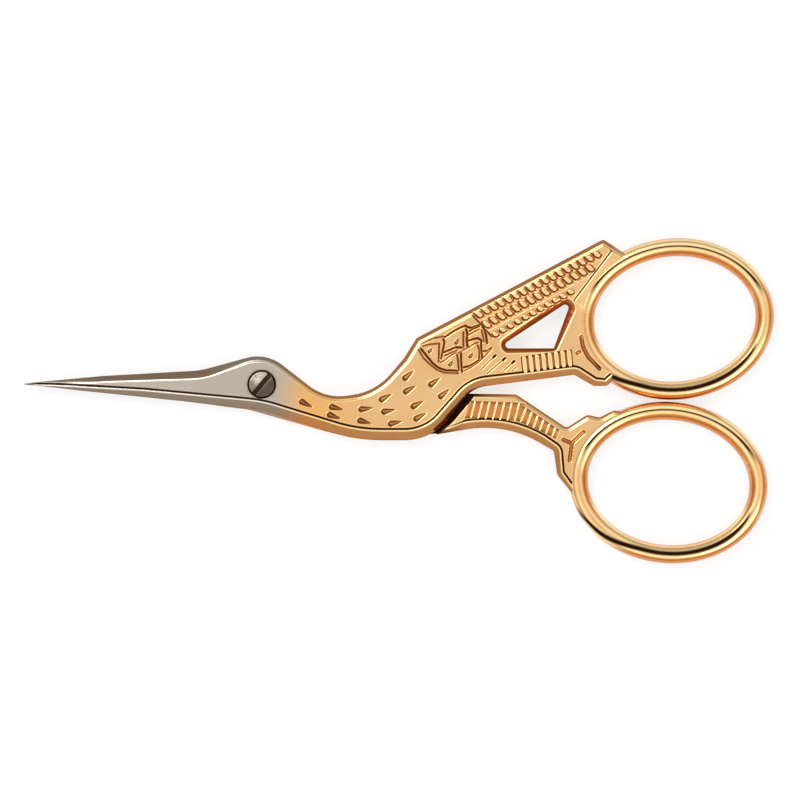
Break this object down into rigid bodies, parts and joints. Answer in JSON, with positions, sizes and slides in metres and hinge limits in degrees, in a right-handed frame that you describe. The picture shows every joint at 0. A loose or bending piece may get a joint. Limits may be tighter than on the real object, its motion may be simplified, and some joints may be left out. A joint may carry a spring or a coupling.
{
  "type": "embroidery scissors",
  "caption": "Small closed embroidery scissors in the shape of a stork: pointed beak blades, slotted pivot screw, feathered tail, ribbed legs and oval finger rings.",
  "frame": {"origin": "on the pivot axis, in the plane the closed scissors lie on (outer face of the rear half)", "axes": "+X from the pivot towards the finger rings, +Y from the lower to the upper finger ring, +Z out of the face of the front half, along the pivot axis"},
  "size_m": [0.0894, 0.0388, 0.003],
  "materials": {
    "gilt": "polished gilt plating, turning to bright nickel at the beak",
    "screw_steel": "satin"
  },
  "bodies": {
    "rear": {"rear_half": "gilt", "pivot_screw": "screw_steel"},
    "front": {"front_half": "gilt"}
  },
  "joints": [
    {"name": "pivot", "type": "hinge", "parent": "rear", "child": "front", "pos_m": [0, 0, 0.00145], "axis": [0, 0, 1], "range_deg": [0, 90]}
  ]
}
